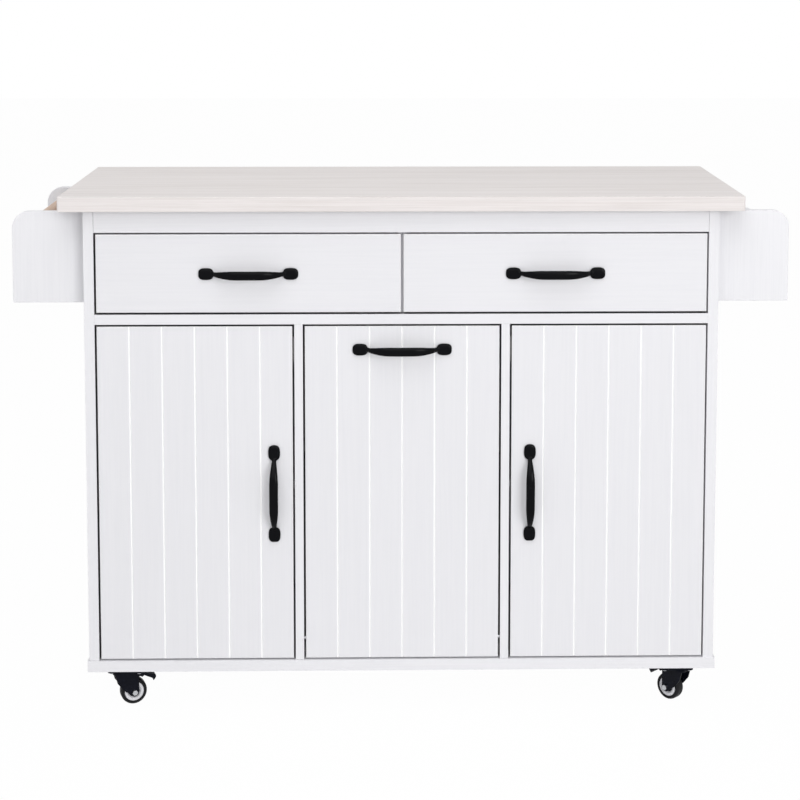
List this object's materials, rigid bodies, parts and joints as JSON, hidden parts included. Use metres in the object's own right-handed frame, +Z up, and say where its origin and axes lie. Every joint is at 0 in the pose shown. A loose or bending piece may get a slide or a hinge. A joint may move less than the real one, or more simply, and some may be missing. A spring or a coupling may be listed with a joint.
{
  "type": "drop leaf kitchen island",
  "caption": "Kitchen island on swivel casters with a hanging back leaf, inset drawers, grooved cupboard doors, a tilt-out bin front, a towel rail and a spice rack.",
  "frame": {"origin": "on the floor, under the middle of the whole piece with the leaf hanging", "axes": "+X to the right as seen from the front, +Y from the front to the back, +Z up"},
  "size_m": [1.376, 0.4968, 0.93],
  "materials": {
    "worktop_wood": "whitewashed matte",
    "white_paint": "satin white paint",
    "natural_wood": "sanded",
    "box_wood": "clear lacquer",
    "handle_black": "gloss black",
    "black_steel": "semi-gloss black",
    "bright_steel": "zinc plated",
    "white_plastic": "matte",
    "wheel_rubber": "matte"
  },
  "bodies": {
    "cabinet": {"worktop": "worktop_wood", "side_panel_left": "white_paint", "side_panel_right": "white_paint", "base_panel": "white_paint", "back_panel": "white_paint", "partitions": "white_paint", "drawer_deck": "white_paint", "drawer_divider": "white_paint", "top_rails": "white_paint", "shelves": "white_paint", "shelf_pins": "bright_steel", "drawer_runner_channels": "bright_steel", "door_hinge_arms": "bright_steel", "magnet_catches": "white_plastic", "towel_rack_ends": "white_paint", "towel_rail": "natural_wood", "spice_rack_ends": "white_paint", "spice_rack_floor": "white_paint", "spice_rack_guard": "white_paint", "leaf_hinge_plates": "bright_steel", "brace_wall_plates": "black_steel", "bin_pivot_pins": "bright_steel", "bin_stops": "white_paint", "caster_plates": "black_steel", "caster_screws": "bright_steel"},
    "leaf": {"drop_leaf": "worktop_wood", "leaf_hinge_flaps": "bright_steel", "brace_rests": "black_steel"},
    "left_brace": {"brace_left": "black_steel"},
    "right_brace": {"brace_right": "black_steel"},
    "left_drawer": {"drawer_left_front": "white_paint", "drawer_left_box": "box_wood", "drawer_left_slides": "bright_steel", "drawer_left_handle": "handle_black"},
    "right_drawer": {"drawer_right_front": "white_paint", "drawer_right_box": "box_wood", "drawer_right_slides": "bright_steel", "drawer_right_handle": "handle_black"},
    "left_door": {"door_left": "white_paint", "door_left_hardware": "bright_steel", "door_left_handle": "handle_black"},
    "right_door": {"door_right": "white_paint", "door_right_hardware": "bright_steel", "door_right_handle": "handle_black"},
    "bin": {"bin_front": "white_paint", "bin_holder": "box_wood", "bin_strikes": "bright_steel", "bin_handle": "handle_black"},
    "front_left_swivel": {"fork_front_left": "black_steel"},
    "front_left_wheel": {"wheel_front_left": "wheel_rubber"},
    "front_left_brake": {"brake_front_left": "black_steel"},
    "front_right_swivel": {"fork_front_right": "black_steel"},
    "front_right_wheel": {"wheel_front_right": "wheel_rubber"},
    "front_right_brake": {"brake_front_right": "black_steel"},
    "back_left_swivel": {"fork_back_left": "black_steel"},
    "back_left_wheel": {"wheel_back_left": "wheel_rubber"},
    "back_left_brake": {"brake_back_left": "black_steel"},
    "back_right_swivel": {"fork_back_right": "black_steel"},
    "back_right_wheel": {"wheel_back_right": "wheel_rubber"},
    "back_right_brake": {"brake_back_right": "black_steel"}
  },
  "joints": [
    {"name": "leaf_hinge", "type": "hinge", "parent": "cabinet", "child": "leaf", "pos_m": [0, 0.21838, 0.9], "axis": [1, 0, 0], "range_deg": [0, 90]},
    {"name": "left_brace_pivot", "type": "hinge", "parent": "cabinet", "child": "left_brace", "pos_m": [-0.38, 0.20763, 0.8], "axis": [1, 0, 0], "range_deg": [0, 126]},
    {"name": "right_brace_pivot", "type": "hinge", "parent": "cabinet", "child": "right_brace", "pos_m": [0.38, 0.20763, 0.8], "axis": [1, 0, 0], "range_deg": [0, 126]},
    {"name": "left_drawer_slide", "type": "slide", "parent": "cabinet", "child": "left_drawer", "axis": [0, -1, 0], "range_m": [0, 0.28]},
    {"name": "right_drawer_slide", "type": "slide", "parent": "cabinet", "child": "right_drawer", "axis": [0, -1, 0], "range_m": [0, 0.28]},
    {"name": "left_door_hinge", "type": "hinge", "parent": "cabinet", "child": "left_door", "pos_m": [-0.534, -0.21638, 0.3965], "axis": [0, 0, -1], "range_deg": [0, 105]},
    {"name": "right_door_hinge", "type": "hinge", "parent": "cabinet", "child": "right_door", "pos_m": [0.534, -0.21638, 0.3965], "axis": [0, 0, 1], "range_deg": [0, 105]},
    {"name": "bin_tilt", "type": "hinge", "parent": "cabinet", "child": "bin", "pos_m": [0, -0.21288, 0.13], "axis": [1, 0, 0], "range_deg": [0, 32]},
    {"name": "front_left_swivel_axis", "type": "hinge", "parent": "cabinet", "child": "front_left_swivel", "pos_m": [-0.4965, -0.18738, 0.06], "axis": [0, 0, 1], "continuous": true},
    {"name": "front_left_wheel_spin", "type": "hinge", "parent": "front_left_swivel", "child": "front_left_wheel", "pos_m": [-0.48663, -0.18378, 0.02375], "axis": [-0.342, 0.9397, 0], "continuous": true},
    {"name": "front_left_brake_pedal", "type": "hinge", "parent": "front_left_swivel", "child": "front_left_brake", "pos_m": [-0.48287, -0.18242, 0.055], "axis": [-0.342, 0.9397, 0], "range_deg": [0, 26]},
    {"name": "front_right_swivel_axis", "type": "hinge", "parent": "cabinet", "child": "front_right_swivel", "pos_m": [0.4965, -0.18738, 0.06], "axis": [0, 0, 1], "continuous": true},
    {"name": "front_right_wheel_spin", "type": "hinge", "parent": "front_right_swivel", "child": "front_right_wheel", "pos_m": [0.48921, -0.17982, 0.02375], "axis": [-0.7193, -0.6947, 0], "continuous": true},
    {"name": "front_right_brake_pedal", "type": "hinge", "parent": "front_right_swivel", "child": "front_right_brake", "pos_m": [0.48643, -0.17694, 0.055], "axis": [-0.7193, -0.6947, 0], "range_deg": [0, 26]},
    {"name": "back_left_swivel_axis", "type": "hinge", "parent": "cabinet", "child": "back_left_swivel", "pos_m": [-0.4965, 0.16062, 0.06], "axis": [0, 0, 1], "continuous": true},
    {"name": "back_left_wheel_spin", "type": "hinge", "parent": "back_left_swivel", "child": "back_left_wheel", "pos_m": [-0.50637, 0.15703, 0.02375], "axis": [0.342, -0.9397, 0], "continuous": true},
    {"name": "back_left_brake_pedal", "type": "hinge", "parent": "back_left_swivel", "child": "back_left_brake", "pos_m": [-0.51013, 0.15567, 0.055], "axis": [0.342, -0.9397, 0], "range_deg": [0, 26]},
    {"name": "back_right_swivel_axis", "type": "hinge", "parent": "cabinet", "child": "back_right_swivel", "pos_m": [0.4965, 0.16062, 0.06], "axis": [0, 0, 1], "continuous": true},
    {"name": "back_right_wheel_spin", "type": "hinge", "parent": "back_right_swivel", "child": "back_right_wheel", "pos_m": [0.50559, 0.15538, 0.02375], "axis": [0.5, 0.866, 0], "continuous": true},
    {"name": "back_right_brake_pedal", "type": "hinge", "parent": "back_right_swivel", "child": "back_right_brake", "pos_m": [0.50906, 0.15338, 0.055], "axis": [0.5, 0.866, 0], "range_deg": [0, 26]}
  ],
  "couplings": [
    {"joint": "left_brace_pivot", "follows": "leaf_hinge", "ratio": 1.4},
    {"joint": "right_brace_pivot", "follows": "leaf_hinge", "ratio": 1.4}
  ]
}
